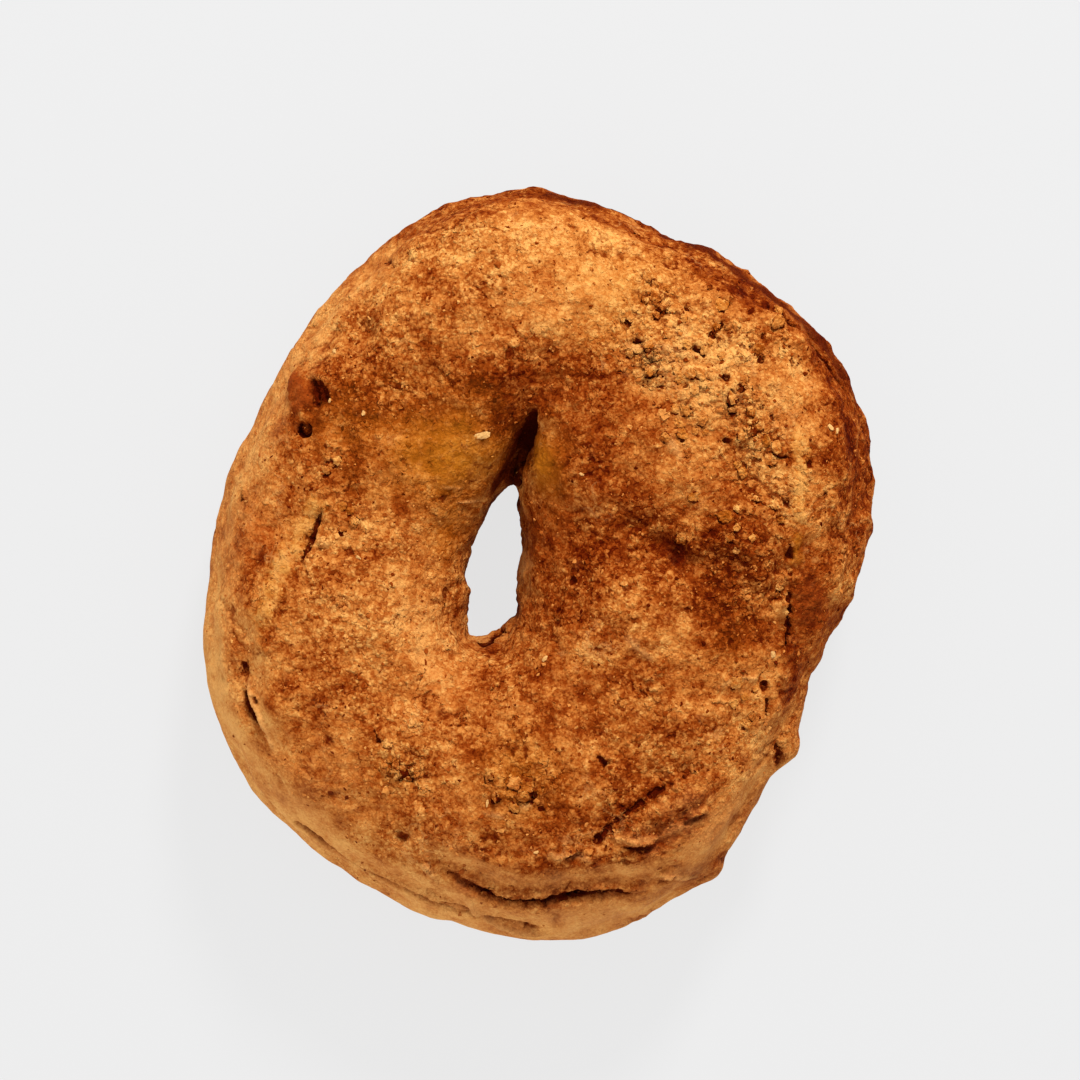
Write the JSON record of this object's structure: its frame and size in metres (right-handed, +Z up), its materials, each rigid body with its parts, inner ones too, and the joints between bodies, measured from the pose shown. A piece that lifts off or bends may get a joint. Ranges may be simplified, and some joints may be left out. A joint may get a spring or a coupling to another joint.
{
  "type": "bagel",
  "caption": "Whole hand-shaped bagel with an oval slot hole, a pinched crease above it, a fold round its side and a flat base.",
  "frame": {"origin": "on the plane of the flat base, under the middle of the bagel's box", "axes": "+Z up out of the domed side; +Y along the bagel's longer way across, towards the pinched crease; +X towards the broader arm of the ring"},
  "size_m": [0.1186, 0.133, 0.0454],
  "materials": {
    "crust": "matte, mottled brown baked crust with a fine dusting of crumbs"
  },
  "bodies": {
    "root": {"bagel": "crust"}
  },
  "joints": []
}
